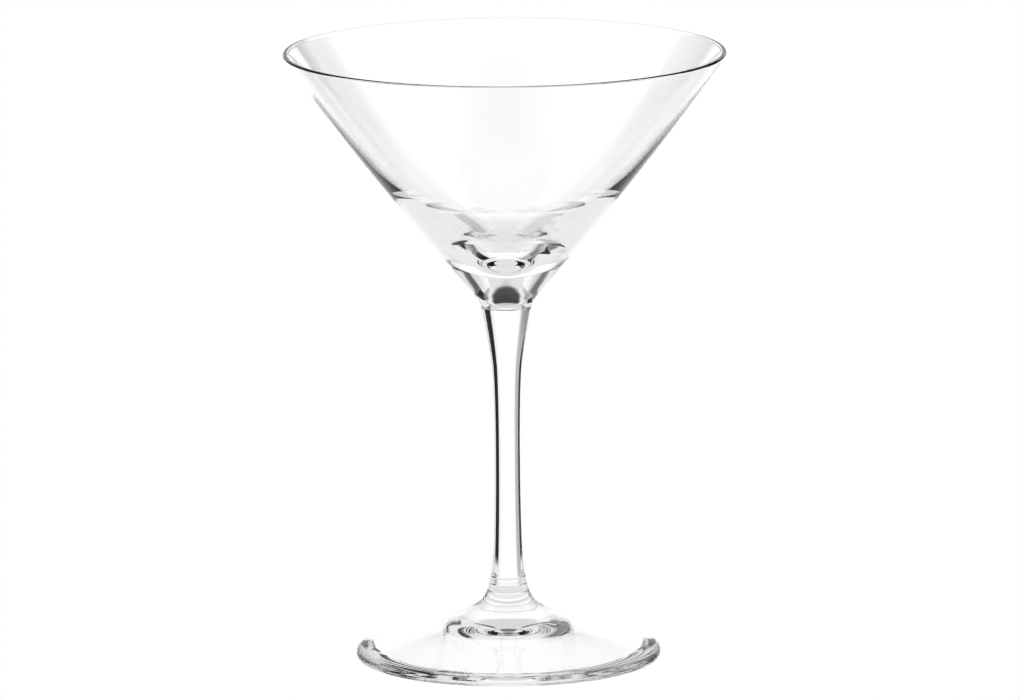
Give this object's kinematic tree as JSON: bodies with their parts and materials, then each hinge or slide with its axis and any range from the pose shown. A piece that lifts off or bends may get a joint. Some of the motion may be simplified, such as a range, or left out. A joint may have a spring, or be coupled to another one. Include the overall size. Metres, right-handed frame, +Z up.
{
  "type": "martini glass",
  "caption": "Clear stemmed cocktail glass: wide conical bowl with a thick solid base, slim solid stem and a domed round foot.",
  "frame": {"origin": "on the glass's axis, in the plane of the ring that the foot stands on", "axes": "+Z up along the stem, towards the mouth of the bowl; round about Z, so +X and +Y are free"},
  "size_m": [0.12, 0.12, 0.167],
  "materials": {
    "clear_glass": "fire-polished clear soda-lime glass, index 1.5"
  },
  "bodies": {
    "root": {"bowl": "clear_glass", "stem": "clear_glass", "foot": "clear_glass"}
  },
  "joints": []
}
